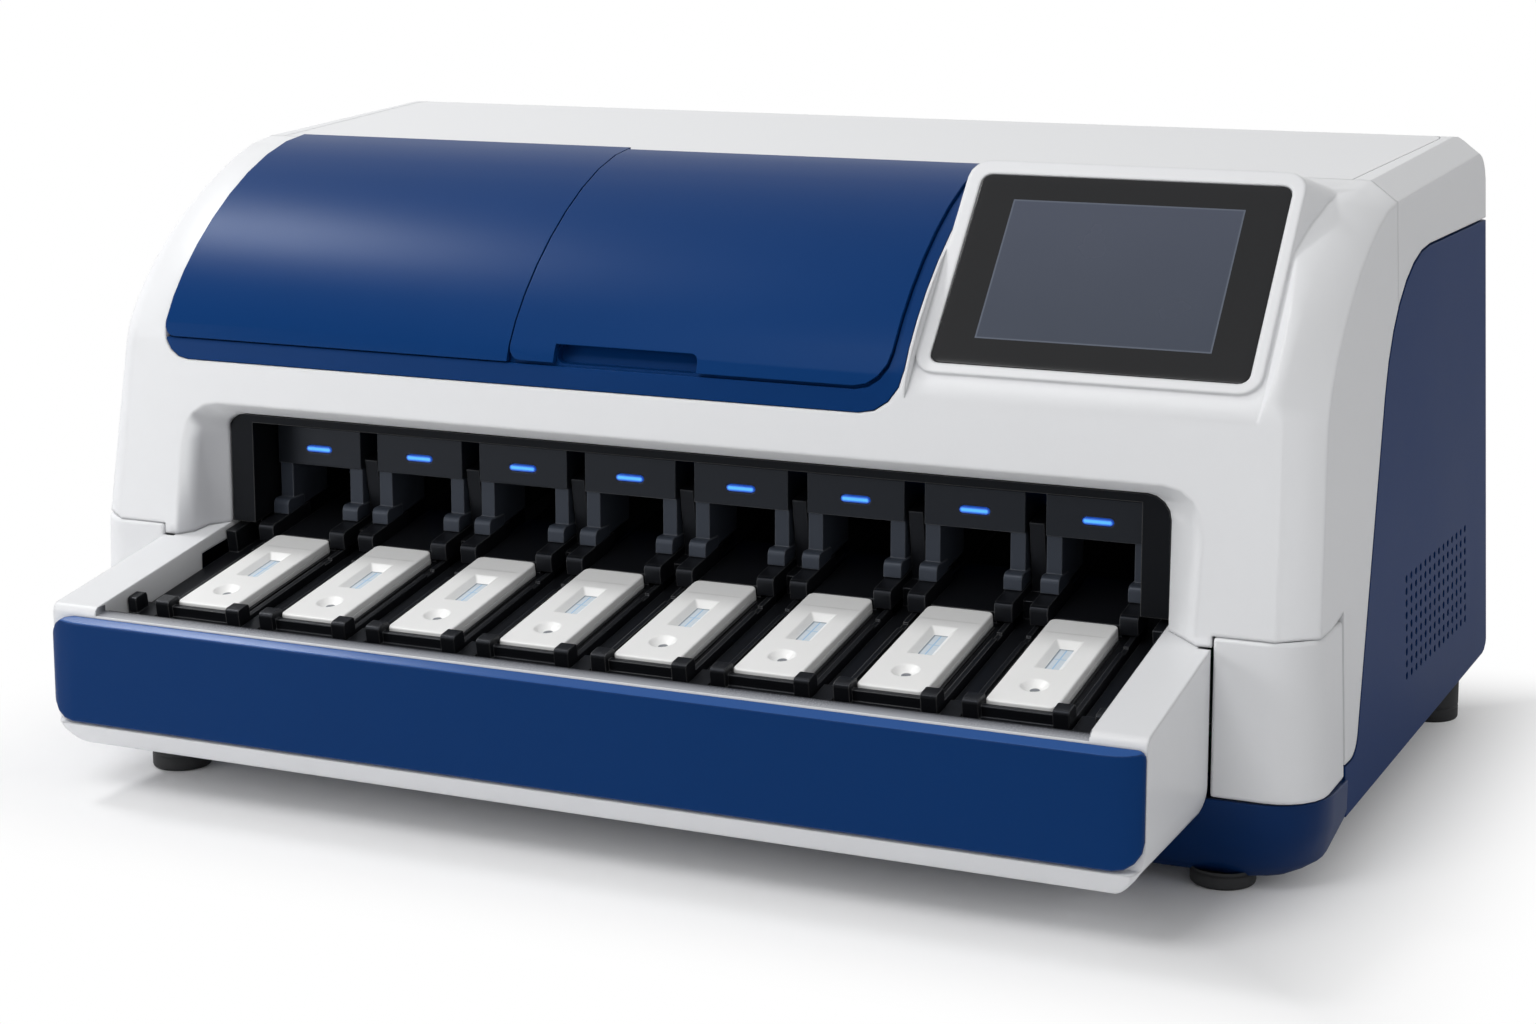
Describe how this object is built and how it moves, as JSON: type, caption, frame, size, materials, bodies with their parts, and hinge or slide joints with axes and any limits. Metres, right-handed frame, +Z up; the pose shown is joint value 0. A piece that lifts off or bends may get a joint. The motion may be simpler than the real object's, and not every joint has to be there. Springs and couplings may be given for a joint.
{
  "type": "rapid test reader",
  "caption": "Bench reader for lateral-flow test cassettes: cassettes ride into a row of reading heads on sliding trays under a curved hood with a leaning touch screen.",
  "frame": {"origin": "on the floor under the middle of the instrument's bounding box", "axes": "+X to the operator's right, +Y to the rear, +Z up"},
  "size_m": [0.5252, 0.3452, 0.243],
  "materials": {
    "white_plastic": "fine satin moulding",
    "blue_gloss": "high gloss",
    "blue_satin": "satin, soft broad highlights",
    "blue_panel": "low sheen",
    "black_plastic": "semi-matt",
    "charcoal_plastic": "semi-matt",
    "cassette_white": "smooth",
    "blue_light": "translucent, lit blue",
    "screen_cover": "polished black border round a dark grey display",
    "display": "unlit, smooth",
    "steel": "plain",
    "circuit_board": "plain",
    "rubber": "matt"
  },
  "bodies": {
    "housing": {"base_pan": "blue_panel", "bay_liner": "black_plastic", "cavity_liner": "black_plastic", "corner_left": "white_plastic", "corner_right": "white_plastic", "data_ports": "steel", "display_panel": "display", "door_hinge_pin": "steel", "fan_frame": "black_plastic", "foot_front_left": "rubber", "foot_front_right": "rubber", "foot_rear_left": "rubber", "foot_rear_right": "rubber", "front_frame": "white_plastic", "front_panel": "blue_gloss", "head_1": "charcoal_plastic", "head_2": "charcoal_plastic", "head_3": "charcoal_plastic", "head_4": "charcoal_plastic", "head_5": "charcoal_plastic", "head_6": "charcoal_plastic", "head_7": "charcoal_plastic", "head_8": "charcoal_plastic", "hood_frame": "blue_satin", "hood_left_cover": "blue_satin", "light_guide": "blue_light", "main_board": "circuit_board", "optics_bench": "charcoal_plastic", "power_inlet": "black_plastic", "power_supply": "steel", "rear_panel": "blue_panel", "screen_glass": "screen_cover", "side_panel_left": "blue_panel", "side_panel_right": "blue_panel", "switch_frame": "black_plastic", "top_cover": "white_plastic", "top_lid": "white_plastic", "tray_deck": "black_plastic", "tray_housing": "white_plastic"},
    "slide_1": {"tray_1": "black_plastic", "cassette_1": "cassette_white"},
    "slide_2": {"tray_2": "black_plastic", "cassette_2": "cassette_white"},
    "slide_3": {"tray_3": "black_plastic", "cassette_3": "cassette_white"},
    "slide_4": {"tray_4": "black_plastic", "cassette_4": "cassette_white"},
    "slide_5": {"tray_5": "black_plastic", "cassette_5": "cassette_white"},
    "slide_6": {"tray_6": "black_plastic", "cassette_6": "cassette_white"},
    "slide_7": {"tray_7": "black_plastic", "cassette_7": "cassette_white"},
    "slide_8": {"tray_8": "black_plastic", "cassette_8": "cassette_white"},
    "door": {"hood_door": "blue_satin"},
    "rocker": {"power_rocker": "charcoal_plastic"},
    "rotor": {"fan_rotor": "charcoal_plastic"}
  },
  "joints": [
    {"name": "tray_1_slide", "type": "slide", "parent": "housing", "child": "slide_1", "axis": [0, 0.9855, 0.1695], "range_m": [0, 0.064]},
    {"name": "tray_2_slide", "type": "slide", "parent": "housing", "child": "slide_2", "axis": [0, 0.9855, 0.1695], "range_m": [0, 0.064]},
    {"name": "tray_3_slide", "type": "slide", "parent": "housing", "child": "slide_3", "axis": [0, 0.9855, 0.1695], "range_m": [0, 0.064]},
    {"name": "tray_4_slide", "type": "slide", "parent": "housing", "child": "slide_4", "axis": [0, 0.9855, 0.1695], "range_m": [0, 0.064]},
    {"name": "tray_5_slide", "type": "slide", "parent": "housing", "child": "slide_5", "axis": [0, 0.9855, 0.1695], "range_m": [0, 0.064]},
    {"name": "tray_6_slide", "type": "slide", "parent": "housing", "child": "slide_6", "axis": [0, 0.9855, 0.1695], "range_m": [0, 0.064]},
    {"name": "tray_7_slide", "type": "slide", "parent": "housing", "child": "slide_7", "axis": [0, 0.9855, 0.1695], "range_m": [0, 0.064]},
    {"name": "tray_8_slide", "type": "slide", "parent": "housing", "child": "slide_8", "axis": [0, 0.9855, 0.1695], "range_m": [0, 0.064]},
    {"name": "hood_door_hinge", "type": "hinge", "parent": "housing", "child": "door", "pos_m": [0.01365, 0.01791, 0.2345], "axis": [-1, 0, 0], "range_deg": [0, 65]},
    {"name": "power_rocker_hinge", "type": "hinge", "parent": "housing", "child": "rocker", "pos_m": [-0.15, 0.16711, 0.107], "axis": [1, 0, 0], "range_deg": [0, 20]},
    {"name": "fan_spin", "type": "hinge", "parent": "housing", "child": "rotor", "pos_m": [0.15, 0.15821, 0.131], "axis": [0, 1, 0], "continuous": true}
  ]
}
